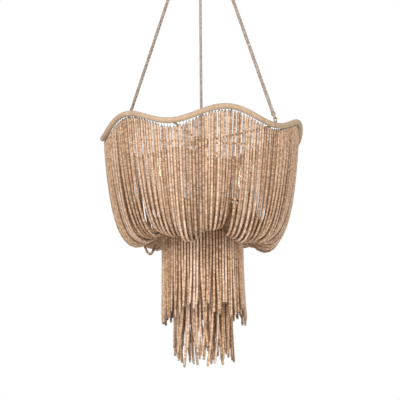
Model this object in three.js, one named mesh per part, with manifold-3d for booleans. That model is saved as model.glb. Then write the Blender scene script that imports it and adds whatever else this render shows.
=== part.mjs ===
// Beaded chandelier: a wavy wrapped ring hung on two ropes and a centre cord, with curtains of bead
// strings that sag from the ring to a small hoop, two fringes below the hoop and six candle lamps inside.
// Millimetres, +Z up. The origin is the middle of the face that lies against the ceiling.
// The front, which a viewer faces, looks towards -Y.
import * as THREE from "three";
import { mergeGeometries, mergeVertices } from "three/addons/utils/BufferGeometryUtils.js";
import Module from "manifold-3d";

const wasm = await Module();
wasm.setup();

// Clearances that many pieces share
const seatGap = 0.3; // between two pieces that touch
const joinDepth = 1.2; // how far two forms of one piece run into each other before they are joined
const weldDistance = 1e-3; // corners closer than this are one corner
const smallSides = 8; // facets round a small turned piece
const bodySides = 12; // facets round a larger one

// The layout: six troughs of the wave and six spokes stand at the same angles, six lamps between them
const armCount = 6;
const firstArmAngle = -46; // degrees from +X, seen from above; the right-hand rope is on this arm
const firstLampAngle = -25;
const leftRopeAngle = 151; // the left-hand rope stands behind, on a slope of the wave

// Ceiling end
const crossbarEndGap = 3.2; // the flat tabs stand this far inside the round wall of the canopy
const crossbarWidth = 18;
const crossbarThickness = 3;
const crossbarTabDrop = 11;
const crossbarSlotSpacing = 70;
const crossbarSlotLength = 14;
const crossbarSlotWidth = 5;
const canopyRimRadius = 62;
const canopyMouthRadius = 30;
const canopyDepth = 46;
const canopyWall = 1.6;
const canopySides = 20;
const canopySteps = 4;
const canopyScrewDrop = 6;
const canopyScrewRadius = 2;
const canopyScrewHeadRadius = 4;
const canopyScrewHeadHeight = 2.4;
const canopyScrewLength = 8;
const screwHoleGap = 0.4;
const hookShankRadius = 3;
const hookNutRadius = 7;
const hookNutHeight = 4;
const hookEyeRadius = 10;
const hookEyeWire = 2.6;
const hookEyeDrop = 33;
const linkWire = 2.4;
const linkBowRadius = 8;
const linkStraight = 24;
const linkSteps = 24;
const linkSides = 6;

// Gathering piece below the link
const gatherEyeRadius = 10;
const gatherEyeWire = 2.6;
const gatherNeckRadius = 7;
const gatherNeckLength = 12;
const gatherFlangeRadius = 18;
const gatherFlangeHeight = 8;
const gatherTailRadius = 8;
const gatherTailLength = 14;
const ropeEyeRadius = 5.4;
const ropeEyeWire = 1.5;
const eyeSteps = 10;
const eyeSides = 5;
const leadRadius = 2.5;
const leadOffset = gatherFlangeRadius - leadRadius; // it comes up at the flange's edge
const terminalWidth = 16;
const terminalDepth = 10;
const terminalHeight = 11;
const terminalDrop = 18;

// Ropes and centre cord
const ropeRadius = 5.2;
const ropeSides = 8;
const ropeStepDiameters = 3;
const ropeCapRadius = 6.2;
const ropeCapLength = 9;
const cordRadius = 4;
const cordSides = 8;

// Wavy ring, its eyelets and its spokes
const ringLevel = -792; // mean height of the ring's centreline
const ringRadius = 297;
const ringTube = 8;
const ringWave = 18.5;
const ringSteps = 78;
const ringSides = 8;
const ringFacetGap = 0.6; // what is seated on the ring clears its straight facets by this
const eyeletBaseRadius = 5;
const eyeletBaseHeight = 1.6;
const eyeletStem = 1;
const spokeRadius = 3;
const hubRadius = 20;
const hubHeight = 36;
const hubNeckRadius = 9;
const hubNeckHeight = 22;
const hubFootShare = 0.6; // of the hub's radius
const columnRadius = 8;
const columnCollarRadius = 11;
const columnCollarHeight = 6;

// Lamps
const armHubDrop = 194; // below the ring's mean height
const armHubRadius = 18;
const armHubHeight = 30;
const armHubEndShare = 0.7; // of the arm hub's radius
const armTube = 4;
const armSag = 24; // how far the arm's last control point lies under the cup
const armSteps = 7;
const armSides = 6;
const lampCircleRadius = 150;
const lampCupRadius = 19;
const lampCupHeight = 7;
const lampCupDrop = 192; // underside of the cup below the ring's mean height
const lampSleeveRadius = 11;
const lampSleeveHeight = 28;
const lampBoreRadius = 7.4;
const lampBoreDepth = 24;
const lampSides = 8;
const bulbBaseRadius = 6.4;
const bulbBaseLength = 20;
const bulbRadius = 17.5;
const bulbGlassLength = 84;

// Lower hoops and their spider
const hoopRadius = 117.5;
const hoopWall = 3;
const hoopTopDrop = 217; // below the ring's mean height
const hoopHeight = 34;
const hoopSides = 36;
const innerHoopRadius = 81.5;
const innerHoopHeight = 14;
const innerHoopSides = 30;
const spiderDrop = 238;
const spiderBarWidth = 8;
const spiderBarThickness = 3;
const spiderBossRadius = 14;
const bottomNutRadius = 9;
const bottomNutHeight = 16;

// Bead strings
const stringWidth = 9.4;
const stringHook = 7; // bare hook wire between a string and its rail
const railWidth = 4.4;
const railHeight = 2.6;
const railTurn = 55; // degrees from the ring's underside towards its inner side
const panelGap = 1;
const curtainPanels = 6;
const stringsPerCurtain = 14;
const outerStringLength = 473; // strings of the outer, lower layer
const innerStringLength = 459; // strings of the inner layer, which lies on the outer one
const outerLayerDrop = 240; // where each layer meets the hoop, below the ring's mean height
const innerLayerDrop = 225;
const fringePanels = 2;
const upperFringeStrings = 40;
const upperFringeLength = 316;
const upperFringeRagged = 36;
const upperFringeFrontRise = 44; // how much shorter its strings are in front than behind
const lowerFringeStrings = 28;
const lowerFringeLength = 425;
const lowerFringeRagged = 66;
const raggedTurns = [2.4, 1.7]; // radians from string to string in the two waves that make the ends ragged

// Where a curtain string is sampled, as shares of the angle that it turns through
const turnShares = [0, 0.09, 0.28, 0.51, 0.75, 1];
// A candle bulb's outline above its base: share of its radius, share of its length
const bulbShares = [
  [0.4, 0], [0.72, 0.12], [1, 0.36], [0.86, 0.6], [0.48, 0.82], [0.16, 0.96],
];

// The search for a catenary: its parameter lies between these shares of its span
const flattestShare = 10;
const steepestShare = 0.025;
const searchSteps = 60;

const degree = Math.PI / 180;
const anglesFrom = (first) =>
  Array.from({ length: armCount }, (_, i) => first * degree + (i * 2 * Math.PI) / armCount);
const armAngles = anglesFrom(firstArmAngle);
const lampAngles = anglesFrom(firstLampAngle);
const chandelier = new THREE.Group();

// Materials
const finish = (color, roughness, metalness) =>
  new THREE.MeshStandardMaterial({ color, roughness, metalness });
const wrappedCord = finish(0xc9a57f, 0.85, 0);
const beads = finish(0xb98f6c, 0.7, 0);
const rope = finish(0x9d8a72, 0.9, 0);
const brass = finish(0xc8a04a, 0.3, 1);
const steel = finish(0xb5b5b0, 0.4, 1);
const ivory = finish(0xe9dcc0, 0.5, 0);
const glass = finish(0xffe2a8, 0.1, 0);

function add(name, geometry, material) {
  const mesh = new THREE.Mesh(geometry, material);
  mesh.name = name;
  chandelier.add(mesh);
  return mesh;
}

// A point at an angle about the Z axis
function polar(radius, angle, z) {
  return new THREE.Vector3(radius * Math.cos(angle), radius * Math.sin(angle), z);
}

// Booleans: a geometry in and out
function toSolid(geometry) {
  const bare = new THREE.BufferGeometry();
  const flat = geometry.index ? geometry.toNonIndexed() : geometry;
  bare.setAttribute("position", flat.getAttribute("position"));
  const merged = mergeVertices(bare, weldDistance);
  return new wasm.Manifold(
    new wasm.Mesh({
      numProp: 3,
      vertProperties: merged.attributes.position.array,
      triVerts: new Uint32Array(merged.index.array),
    }),
  );
}
function fromSolid(solid) {
  const mesh = solid.getMesh();
  const geometry = new THREE.BufferGeometry();
  geometry.setAttribute("position", new THREE.BufferAttribute(mesh.vertProperties, 3));
  geometry.setIndex(new THREE.BufferAttribute(mesh.triVerts, 1));
  geometry.computeVertexNormals();
  return geometry;
}
const join = (...forms) => fromSolid(forms.map(toSolid).reduce((a, b) => a.add(b)));
const cut = (form, ...tools) =>
  fromSolid(tools.map(toSolid).reduce((a, b) => a.subtract(b), toSolid(form)));

// A turned form about Z; the outline runs from the bottom up and is a list of [radius, height]
function turned(outline, sides, startAngle = 0) {
  const points = outline.map(([r, z]) => new THREE.Vector2(r, z));
  return new THREE.LatheGeometry(points, sides, startAngle).rotateX(Math.PI / 2);
}
// A turned rod between two heights, on the Z axis
const rod = (radius, low, high, sides = smallSides) =>
  turned([[0, low], [radius, low], [radius, high], [0, high]], sides);
// A hoop of rectangular section; the outline closes on itself
function band(radius, wall, low, high, sides) {
  const inner = radius - wall / 2;
  const outer = radius + wall / 2;
  return turned([[inner, low], [outer, low], [outer, high], [inner, high], [inner, low]], sides);
}
function polygon(radius, sides) {
  return new THREE.Shape(
    Array.from({ length: sides }, (_, i) => {
      const angle = ((i + 1 / 2) * 2 * Math.PI) / sides;
      return new THREE.Vector2(radius * Math.cos(angle), radius * Math.sin(angle));
    }),
  );
}
const sweep = (curve, radius, sides, steps) =>
  new THREE.ExtrudeGeometry(polygon(radius, sides), { steps, bevelEnabled: false, extrudePath: curve });

// Turns a form that stands along +Z so that it stands along a direction, about a point
function stand(geometry, at, along) {
  const turn = new THREE.Quaternion().setFromUnitVectors(new THREE.Vector3(0, 0, 1), along);
  return geometry.applyQuaternion(turn).translate(at.x, at.y, at.z);
}

// A wire eye in the plane of two unit directions
function eye(centre, radius, wire, u, v) {
  const frame = new THREE.Matrix4().makeBasis(u, v, new THREE.Vector3().crossVectors(u, v));
  return new THREE.TorusGeometry(radius, wire, eyeSides, eyeSteps)
    .applyMatrix4(frame).translate(centre.x, centre.y, centre.z);
}

// The wavy ring: troughs at the arms, crests between them
function ringHeight(angle) {
  return ringLevel - ringWave * Math.cos(armCount * (angle - armAngles[0]));
}
// How steeply the ring climbs at an angle, as its rise for each millimetre round it
function ringSlope(angle) {
  return (ringWave * armCount * Math.sin(armCount * (angle - armAngles[0]))) / ringRadius;
}
class RingCurve extends THREE.Curve {
  getPoint(t, target = new THREE.Vector3()) {
    const angle = t * 2 * Math.PI;
    return target.copy(polar(ringRadius, angle, ringHeight(angle)));
  }
}

// Ceiling end
const linkTop = -hookEyeDrop - hookEyeRadius + hookEyeWire + linkWire + seatGap;
const firstPivot = -hookEyeDrop - hookEyeRadius;
const secondPivot = linkTop - 2 * linkBowRadius - linkStraight;
const X = new THREE.Vector3(1, 0, 0);
const Y = new THREE.Vector3(0, 1, 0);
const Z = new THREE.Vector3(0, 0, 1);

function makeCeilingEnd() {
  const crossbarLength = 2 * (canopyRimRadius - canopyWall - crossbarEndGap);
  const screwHole = (x) =>
    stand(
      rod(canopyScrewRadius + screwHoleGap, -canopyScrewLength, canopyScrewLength),
      new THREE.Vector3(x, 0, -canopyScrewDrop),
      X,
    );
  const strap = new THREE.Shape([
    new THREE.Vector2(-crossbarLength / 2, -crossbarWidth / 2),
    new THREE.Vector2(crossbarLength / 2, -crossbarWidth / 2),
    new THREE.Vector2(crossbarLength / 2, crossbarWidth / 2),
    new THREE.Vector2(-crossbarLength / 2, crossbarWidth / 2),
  ]);
  for (const side of [-1, 1]) {
    const middle = (side * crossbarSlotSpacing) / 2;
    const slot = new THREE.Path();
    const half = crossbarSlotLength / 2 - crossbarSlotWidth / 2;
    slot.absarc(middle + half, 0, crossbarSlotWidth / 2, -Math.PI / 2, Math.PI / 2);
    slot.absarc(middle - half, 0, crossbarSlotWidth / 2, Math.PI / 2, (3 * Math.PI) / 2);
    strap.holes.push(slot);
  }
  const flat = new THREE.ExtrudeGeometry(strap, {
    depth: crossbarThickness, bevelEnabled: false, curveSegments: 4,
  }).translate(0, 0, -crossbarThickness);
  const tab = (side) =>
    new THREE.BoxGeometry(crossbarThickness, crossbarWidth, crossbarTabDrop)
      .translate((side * (crossbarLength - crossbarThickness)) / 2, 0, -crossbarTabDrop / 2);
  const crossbar = cut(
    join(flat, tab(-1), tab(1)),
    screwHole(-crossbarLength / 2),
    screwHole(crossbarLength / 2),
  );
  add("ceiling_crossbar", crossbar, steel);

  const shellSide = (rim, depth) =>
    Array.from({ length: canopySteps + 1 }, (_, i) => {
      const s = ((i / canopySteps) * Math.PI) / 2;
      return [canopyMouthRadius + (rim - canopyMouthRadius) * Math.cos(s), -depth * Math.sin(s)];
    });
  const outer = shellSide(canopyRimRadius, canopyDepth).reverse();
  const inner = shellSide(canopyRimRadius - canopyWall, canopyDepth - canopyWall);
  const shell = turned([...outer, ...inner, outer[0]], canopySides);
  add("ceiling_canopy", cut(shell, screwHole(-canopyRimRadius), screwHole(canopyRimRadius)), brass);

  for (const [name, side] of [["canopy_screw_left", -1], ["canopy_screw_right", 1]]) {
    const screw = turned(
      [
        [0, -canopyScrewLength], [canopyScrewRadius, -canopyScrewLength], [canopyScrewRadius, 0],
        [canopyScrewHeadRadius, 0], [canopyScrewHeadRadius, canopyScrewHeadHeight / 2],
        [canopyScrewRadius, canopyScrewHeadHeight], [0, canopyScrewHeadHeight],
      ],
      smallSides,
    );
    const seat = new THREE.Vector3(side * (canopyRimRadius + seatGap), 0, -canopyScrewDrop);
    add(name, stand(screw, seat, X.clone().multiplyScalar(side)), brass);
  }

  const nutTop = -crossbarThickness - seatGap;
  const shankBottom = -hookEyeDrop + hookEyeRadius - joinDepth;
  const shank = turned(
    [
      [0, shankBottom], [hookShankRadius, shankBottom],
      [hookShankRadius, nutTop - hookNutHeight], [hookNutRadius, nutTop - hookNutHeight],
      [hookNutRadius, nutTop], [0, nutTop],
    ],
    smallSides,
  );
  const hookEye = eye(new THREE.Vector3(0, 0, -hookEyeDrop), hookEyeRadius, hookEyeWire, X, Z);
  add("ceiling_hook", join(shank, hookEye), brass);

  // The link is an oval in the YZ plane
  const oval = new THREE.CurvePath();
  const upper = linkTop - linkBowRadius;
  const lower = upper - linkStraight;
  const bow = (middle, from) => {
    class Bow extends THREE.Curve {
      getPoint(t, target = new THREE.Vector3()) {
        const angle = from + t * Math.PI;
        return target.set(0, linkBowRadius * Math.cos(angle), middle + linkBowRadius * Math.sin(angle));
      }
    }
    return new Bow();
  };
  oval.add(bow(upper, 0));
  oval.add(new THREE.LineCurve3(
    new THREE.Vector3(0, -linkBowRadius, upper), new THREE.Vector3(0, -linkBowRadius, lower),
  ));
  oval.add(bow(lower, Math.PI));
  oval.add(new THREE.LineCurve3(
    new THREE.Vector3(0, linkBowRadius, lower), new THREE.Vector3(0, linkBowRadius, upper),
  ));
  add("hanging_link", new THREE.TubeGeometry(oval, linkSteps, linkWire, linkSides, true), brass);
}

// The gathering piece: a top eye, a neck, a flange with two side eyes and a tail that takes the cord
const gatherEyeCentre = secondPivot + linkWire + gatherEyeWire + seatGap - gatherEyeRadius;
const flangeTop = gatherEyeCentre - gatherEyeRadius - gatherNeckLength;
const flangeBottom = flangeTop - gatherFlangeHeight;
const gatherBottom = flangeBottom - gatherTailLength;
const gatherFlat = gatherFlangeRadius * Math.cos(Math.PI / bodySides);
const ropeEyeReach = gatherFlat + ropeEyeRadius + ropeEyeWire - joinDepth;
const ropeAngles = { right: armAngles[0], left: leftRopeAngle * degree };
const hubTop = ringLevel - ringWave + hubHeight / 2 + hubNeckHeight;

function makeGathering() {
  const body = turned(
    [
      [0, gatherBottom], [gatherTailRadius, gatherBottom], [gatherTailRadius, flangeBottom],
      [gatherFlangeRadius, flangeBottom], [gatherFlangeRadius, flangeTop], [gatherNeckRadius, flangeTop],
      [gatherNeckRadius / 2, flangeTop + gatherNeckLength], [0, flangeTop + gatherNeckLength],
    ],
    bodySides, armAngles[0],
  );
  const topEye = eye(new THREE.Vector3(0, 0, gatherEyeCentre), gatherEyeRadius, gatherEyeWire, X, Z);
  const sideEyes = Object.values(ropeAngles).map((angle) =>
    eye(
      polar(ropeEyeReach, angle, (flangeTop + flangeBottom) / 2),
      ropeEyeRadius, ropeEyeWire, polar(1, angle, 0), Z,
    ),
  );
  add("rope_gather", join(body, topEye, ...sideEyes), brass);

  // The lead goes on from the cord, beside the link, to a terminal block inside the canopy
  const leadTop = -terminalDrop - terminalHeight - seatGap;
  const leadPath = new THREE.LineCurve3(
    new THREE.Vector3(0, leadOffset, flangeTop + seatGap), new THREE.Vector3(0, leadOffset, leadTop),
  );
  const leadSteps = Math.round((leadTop - flangeTop) / (2 * leadRadius * ropeStepDiameters));
  add("supply_lead", sweep(leadPath, leadRadius, smallSides, leadSteps), rope);
  add(
    "terminal_block",
    new THREE.BoxGeometry(terminalWidth, terminalDepth, terminalHeight)
      .translate(0, leadOffset, -terminalDrop - terminalHeight / 2),
    ivory,
  );
  const cordPath = new THREE.LineCurve3(
    new THREE.Vector3(0, 0, gatherBottom - seatGap), new THREE.Vector3(0, 0, hubTop + seatGap),
  );
  const cordSteps = Math.round((gatherBottom - hubTop) / (2 * cordRadius * ropeStepDiameters));
  add("centre_cord", sweep(cordPath, cordRadius, cordSides, cordSteps), rope);
}

// One rope from an eyelet on the ring to a side eye of the gathering piece
function makeRope(side) {
  const angle = ropeAngles[side];
  const across = polar(1, angle + Math.PI / 2, 0);
  // The eyelet stands square to the ring's centreline, which climbs or falls there
  const lift = Z.clone().addScaledVector(across, -ringSlope(angle)).normalize();
  const baseRise = ringWave * (1 - Math.cos((armCount * eyeletBaseRadius) / ringRadius));
  const seat = polar(ringRadius, angle, ringHeight(angle))
    .addScaledVector(lift, ringTube + baseRise + ringFacetGap);
  const eyeletCentre = seat.clone().addScaledVector(lift, eyeletBaseHeight + eyeletStem + ropeEyeRadius);
  const base = turned(
    [
      [0, 0], [eyeletBaseRadius, 0], [eyeletBaseRadius, eyeletBaseHeight / 2],
      [ropeEyeWire, eyeletBaseHeight], [ropeEyeWire, eyeletBaseHeight + eyeletStem + joinDepth],
      [0, eyeletBaseHeight + eyeletStem + joinDepth],
    ],
    smallSides,
  );
  const top = polar(ropeEyeReach, angle, (flangeTop + flangeBottom) / 2);
  const pull = top.clone().sub(eyeletCentre).normalize();
  // The eyelet's wire lies in the plane of its stem and the pull, and the rope's own eye across it
  const lean = pull.clone().addScaledVector(lift, -pull.dot(lift)).normalize();
  const offPull = new THREE.Vector3().crossVectors(lean, lift);
  const eyelet = join(stand(base, seat, lift), eye(eyeletCentre, ropeEyeRadius, ropeEyeWire, lean, lift));
  add(`ring_eyelet_${side}`, eyelet, brass);

  // Two linked eyes pull on each other one wire apart
  const linked = 2 * ropeEyeRadius - 2 * ropeEyeWire - seatGap;
  const ends = [
    { name: `rope_end_low_${side}`, at: eyeletCentre, along: pull, sideways: offPull },
    { name: `rope_end_high_${side}`, at: top, along: pull.clone().negate(), sideways: across },
  ].map(({ name, at, along, sideways }) => {
    const centre = at.clone().addScaledVector(along, linked);
    const capStart = ropeEyeRadius - joinDepth;
    const capShoulder = capStart + ropeCapRadius - ropeEyeWire;
    const cap = turned(
      [
        [0, capStart], [ropeEyeWire + joinDepth, capStart], [ropeCapRadius, capShoulder],
        [ropeCapRadius, capStart + ropeCapLength], [0, capStart + ropeCapLength],
      ],
      smallSides,
    );
    const wire = eye(centre, ropeEyeRadius, ropeEyeWire, along, sideways);
    add(name, join(stand(cap, centre, along), wire), brass);
    return centre.addScaledVector(along, capStart + ropeCapLength + seatGap);
  });
  const path = new THREE.LineCurve3(...ends);
  const steps = Math.round(path.getLength() / (2 * ropeRadius * ropeStepDiameters));
  add(`rope_${side}`, sweep(path, ropeRadius, ropeSides, steps), rope);
}

// The ring frame: wrapped ring, hub, spokes and centre column
const spokeLevel = ringLevel - ringWave;
const hubBottom = spokeLevel - hubHeight / 2;
const spiderTop = ringLevel - spiderDrop;
const armHubMiddle = ringLevel - armHubDrop;

function makeFrame() {
  const ring = new THREE.TubeGeometry(new RingCurve(), ringSteps, ringTube, ringSides, true);
  add("wavy_ring", ring, wrappedCord);
  const hubOutline = [
    [0, hubBottom], [hubRadius * hubFootShare, hubBottom], [hubRadius, spokeLevel - hubHeight / 4],
    [hubRadius, spokeLevel + hubHeight / 4], [hubNeckRadius, spokeLevel + hubHeight / 2],
    [hubNeckRadius, hubTop], [0, hubTop],
  ];
  add("top_hub", turned(hubOutline, bodySides, armAngles[0]), brass);
  armAngles.forEach((angle, i) => {
    const path = new THREE.LineCurve3(
      polar(hubRadius + seatGap, angle, spokeLevel),
      polar(ringRadius - ringTube - seatGap, angle, spokeLevel),
    );
    add(`ring_spoke_${i + 1}`, sweep(path, spokeRadius, smallSides, 1), brass);
  });
  const columnTop = hubBottom - seatGap;
  const columnBottom = spiderTop + seatGap;
  const armHubTop = armHubMiddle + armHubHeight / 2;
  const armHubFoot = armHubMiddle - armHubHeight / 2;
  const lowCollar = columnBottom + columnCollarHeight;
  const highCollar = columnTop - columnCollarHeight;
  const column = turned(
    [
      [0, columnBottom], [columnCollarRadius, columnBottom], [columnCollarRadius, lowCollar],
      [columnRadius, lowCollar], [columnRadius, highCollar], [columnCollarRadius, highCollar],
      [columnCollarRadius, columnTop], [0, columnTop],
    ],
    bodySides,
  );
  add("centre_column", column, brass);

  // The lamp arms spring from a bored hub that slides on the column
  const bore = columnRadius + seatGap;
  const armHubEnd = armHubRadius * armHubEndShare;
  const armHub = turned(
    [
      [bore, armHubFoot], [armHubEnd, armHubFoot], [armHubRadius, armHubMiddle - armHubHeight / 4],
      [armHubRadius, armHubMiddle + armHubHeight / 4], [armHubEnd, armHubTop], [bore, armHubTop],
      [bore, armHubFoot],
    ],
    bodySides, lampAngles[0],
  );
  add("arm_hub", armHub, brass);
}

function makeLamps() {
  const cupBottom = ringLevel - lampCupDrop;
  const cupTop = cupBottom + lampCupHeight;
  const sleeveTop = cupTop + lampSleeveHeight;
  const boreEnd = sleeveTop - lampBoreDepth;
  lampAngles.forEach((angle, i) => {
    const number = i + 1;
    const low = cupBottom - seatGap - armSag;
    const path = new THREE.CubicBezierCurve3(
      polar(armHubRadius + seatGap, angle, armHubMiddle),
      polar((armHubRadius + lampCircleRadius) / 2, angle, armHubMiddle),
      polar(lampCircleRadius, angle, low),
      polar(lampCircleRadius, angle, cupBottom - seatGap),
    );
    add(`lamp_arm_${number}`, sweep(path, armTube, armSides, armSteps), brass);

    const place = polar(lampCircleRadius, angle, 0);
    const holder = turned(
      [
        [0, cupBottom], [lampSleeveRadius, cupBottom], [lampCupRadius, cupTop], [lampSleeveRadius, cupTop],
        [lampSleeveRadius, sleeveTop], [lampBoreRadius, sleeveTop], [lampBoreRadius, boreEnd], [0, boreEnd],
      ],
      lampSides,
    );
    add(`lamp_holder_${number}`, holder.translate(place.x, place.y, 0), ivory);

    const glassBottom = sleeveTop + seatGap;
    const bulb = turned(
      [
        [0, glassBottom - bulbBaseLength], [bulbBaseRadius, glassBottom - bulbBaseLength],
        [bulbBaseRadius, glassBottom],
        ...bulbShares.map(([r, z]) => [bulbRadius * r, glassBottom + bulbGlassLength * z]),
        [0, glassBottom + bulbGlassLength],
      ],
      lampSides,
    );
    add(`bulb_${number}`, bulb.translate(place.x, place.y, 0), glass);
  });
}

// Lower hoops: the large one takes the curtains and the upper fringe, the small one the lower fringe
const hoopTop = ringLevel - hoopTopDrop;
const hoopBottom = hoopTop - hoopHeight;
const spiderBottom = spiderTop - spiderBarThickness;
const innerHoopTop = spiderBottom - seatGap;
const innerHoopBottom = innerHoopTop - innerHoopHeight;

function makeHoops() {
  add("gather_hoop", band(hoopRadius, hoopWall, hoopBottom, hoopTop, hoopSides), brass);
  add("inner_hoop", band(innerHoopRadius, hoopWall, innerHoopBottom, innerHoopTop, innerHoopSides), brass);
  const reach = hoopRadius - hoopWall / 2 - 2 * seatGap;
  const bars = armAngles.slice(0, armCount / 2).map((angle) =>
    new THREE.BoxGeometry(2 * reach, spiderBarWidth, spiderBarThickness)
      .rotateZ(angle).translate(0, 0, spiderTop - spiderBarThickness / 2),
  );
  const boss = rod(spiderBossRadius, spiderBottom, spiderTop, bodySides);
  add("lower_spider", join(boss, ...bars), brass);
  const nutTop = spiderBottom - seatGap;
  const nut = turned(
    [
      [0, nutTop - bottomNutHeight], [bottomNutRadius / 2, nutTop - bottomNutHeight],
      [bottomNutRadius, nutTop - bottomNutHeight / 2], [bottomNutRadius, nutTop], [0, nutTop],
    ],
    smallSides,
  );
  add("bottom_nut", nut, brass);
}

// Bead strings. A panel is one slim rail with its strings: the rail has a triangular section, and each
// string grows from a square of its underside, so rail and strings share their corners.
// A string is a list of stations { r, z, across, along, half } in its own upright plane, where along is
// the direction that the string runs in, as an angle from straight down towards the axis.
function makePanel(strings, railPoint, from, to) {
  const corners = [];
  const faces = [];
  const corner = (v) => corners.push(v.x, v.y, v.z) / 3 - 1;
  const quad = (a, b, c, d) => faces.push(a, b, c, a, c, d);
  const railStation = (angle) => {
    const { r, z } = railPoint(angle);
    return {
      outer: corner(polar(r + railWidth / 2, angle, z)),
      inner: corner(polar(r - railWidth / 2, angle, z)),
      ridge: corner(polar(r, angle, z + railHeight)),
    };
  };
  const railRun = (a, b) => {
    quad(a.outer, b.outer, b.ridge, a.ridge);
    quad(b.inner, a.inner, a.ridge, b.ridge);
  };
  const stringRun = (a, b) => a.forEach((_, k) => quad(a[k], b[k], b[(k + 1) % 4], a[(k + 1) % 4]));
  const first = railStation(from);
  faces.push(first.outer, first.ridge, first.inner);
  let before = first;
  for (const { angle, stations } of strings) {
    const halfAngle = railWidth / 2 / railPoint(angle).r;
    const left = railStation(angle - halfAngle);
    const right = railStation(angle + halfAngle);
    railRun(before, left);
    quad(before.outer, before.inner, left.inner, left.outer);
    railRun(left, right);
    const sideways = polar(1, angle + Math.PI / 2, 0);
    let ring = [left.outer, right.outer, right.inner, left.inner];
    for (const { r, z, run, half } of stations) {
      const outward = polar(Math.cos(run), angle, 0).setZ(-Math.sin(run));
      const centre = polar(r, angle, z);
      const next = [[1, -1], [1, 1], [-1, 1], [-1, -1]].map(([o, s]) =>
        corner(centre.clone().addScaledVector(outward, o * half).addScaledVector(sideways, s * half)),
      );
      stringRun(ring, next);
      ring = next;
    }
    quad(ring[3], ring[2], ring[1], ring[0]);
    before = right;
  }
  const last = railStation(to);
  railRun(before, last);
  quad(before.outer, before.inner, last.inner, last.outer);
  faces.push(last.outer, last.inner, last.ridge);
  const geometry = new THREE.BufferGeometry();
  geometry.setAttribute("position", new THREE.Float32BufferAttribute(corners, 3));
  geometry.setIndex(faces);
  geometry.computeVertexNormals();
  return geometry;
}

// The catenary of a given length between two points of an upright plane, inner and outer
function catenary(inner, outer, length) {
  const span = outer.r - inner.r;
  const rise = outer.z - inner.z;
  const target = Math.sqrt(length * length - rise * rise);
  let low = span * steepestShare;
  let high = span * flattestShare;
  for (let i = 0; i < searchSteps; i++) {
    const middle = (low + high) / 2;
    if (2 * middle * Math.sinh(span / 2 / middle) > target) low = middle;
    else high = middle;
  }
  const a = (low + high) / 2;
  const lowestR = (inner.r + outer.r) / 2 - a * Math.atanh(rise / length);
  const lowestZ = inner.z - a * (Math.cosh((inner.r - lowestR) / a) - 1);
  const slopeAt = (r) => Math.atan(Math.sinh((r - lowestR) / a));
  const pointAt = (slope) => {
    const u = Math.asinh(Math.tan(slope));
    return { r: lowestR + a * u, z: lowestZ + a * (Math.cosh(u) - 1) };
  };
  return { slopeAt, pointAt };
}

function makeCurtains() {
  const hookEnd = hoopRadius + hoopWall / 2 + seatGap;
  // The rail lies against the ring's tube, part of the way from its underside to its inner side
  const railOffset = ringTube + ringFacetGap;
  const railRadius = ringRadius - railOffset * Math.sin(railTurn * degree);
  const railDrop = railOffset * Math.cos(railTurn * degree) + railHeight;
  const railPoint = (angle) => ({ r: railRadius, z: ringHeight(angle) - railDrop });
  const pitch = (2 * Math.PI) / (curtainPanels * stringsPerCurtain);
  const half = stringWidth / 2;
  const oneString = (angle, lowerLayer) => {
    const outer = { r: railRadius, z: railPoint(angle).z - stringHook };
    const inner = {
      r: hookEnd + stringHook,
      z: ringLevel - (lowerLayer ? outerLayerDrop : innerLayerDrop) - half,
    };
    const curve = catenary(inner, outer, lowerLayer ? outerStringLength : innerStringLength);
    const first = curve.slopeAt(outer.r);
    const final = curve.slopeAt(inner.r);
    const stations = turnShares.map((share) => {
      const slope = first + (final - first) * share;
      return { ...curve.pointAt(slope), run: Math.PI / 2 - slope, half };
    });
    stations.push({ r: hookEnd, z: inner.z + half, run: Math.PI / 2, half: railWidth / 2 });
    return { angle, stations };
  };
  for (let panel = 0; panel < curtainPanels; panel++) {
    const start = armAngles[0] + (panel * 2 * Math.PI) / curtainPanels;
    const strings = Array.from({ length: stringsPerCurtain }, (_, k) =>
      oneString(start + (k + 1 / 2) * pitch, k % 2 === 0),
    );
    const edge = panelGap / 2 / railRadius;
    add(
      `bead_curtain_${panel + 1}`,
      makePanel(strings, railPoint, start + edge, start + (2 * Math.PI) / curtainPanels - edge),
      beads,
    );
  }
}

// A fringe hangs straight down; frontRise shortens its strings towards the front
function makeFringe({ name, radius, railTop, count, length, ragged, frontRise = 0 }) {
  const railPoint = () => ({ r: radius, z: railTop - railHeight });
  const pitch = (2 * Math.PI) / count;
  const perPanel = count / fringePanels;
  const half = stringWidth / 2;
  const [turnA, turnB] = raggedTurns;
  for (let panel = 0; panel < fringePanels; panel++) {
    const start = (panel * 2 * Math.PI) / fringePanels;
    const strings = Array.from({ length: perPanel }, (_, k) => {
      const number = panel * perPanel + k;
      const angle = start + (k + 1 / 2) * pitch;
      const uneven = (1 + Math.sin(number * turnA) * Math.cos(number * turnB)) / 2;
      const toFront = (1 - Math.sin(angle)) / 2;
      const top = railTop - railHeight - stringHook;
      const bottom = top - length + ragged * uneven + frontRise * toFront ** 2;
      return { angle, stations: [top, bottom].map((z) => ({ r: radius, z, run: 0, half })) };
    });
    const edge = panelGap / 2 / radius;
    add(
      `${name}_${panel + 1}`,
      makePanel(strings, railPoint, start + edge, start + (2 * Math.PI) / fringePanels - edge),
      beads,
    );
  }
}

makeCeilingEnd();
makeGathering();
makeRope("right");
makeRope("left");
makeFrame();
makeLamps();
makeHoops();
makeCurtains();
makeFringe({
  name: "upper_fringe", radius: hoopRadius, railTop: hoopBottom - seatGap,
  count: upperFringeStrings, length: upperFringeLength,
  ragged: upperFringeRagged, frontRise: upperFringeFrontRise,
});
makeFringe({
  name: "lower_fringe", radius: innerHoopRadius, railTop: innerHoopBottom - seatGap,
  count: lowerFringeStrings, length: lowerFringeLength, ragged: lowerFringeRagged,
});

export default chandelier;
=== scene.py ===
# Looks of the beaded chandelier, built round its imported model. Metres, +Z up, the front faces -Y.
import math
import random

import bpy
from mathutils import Matrix, Vector


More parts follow.
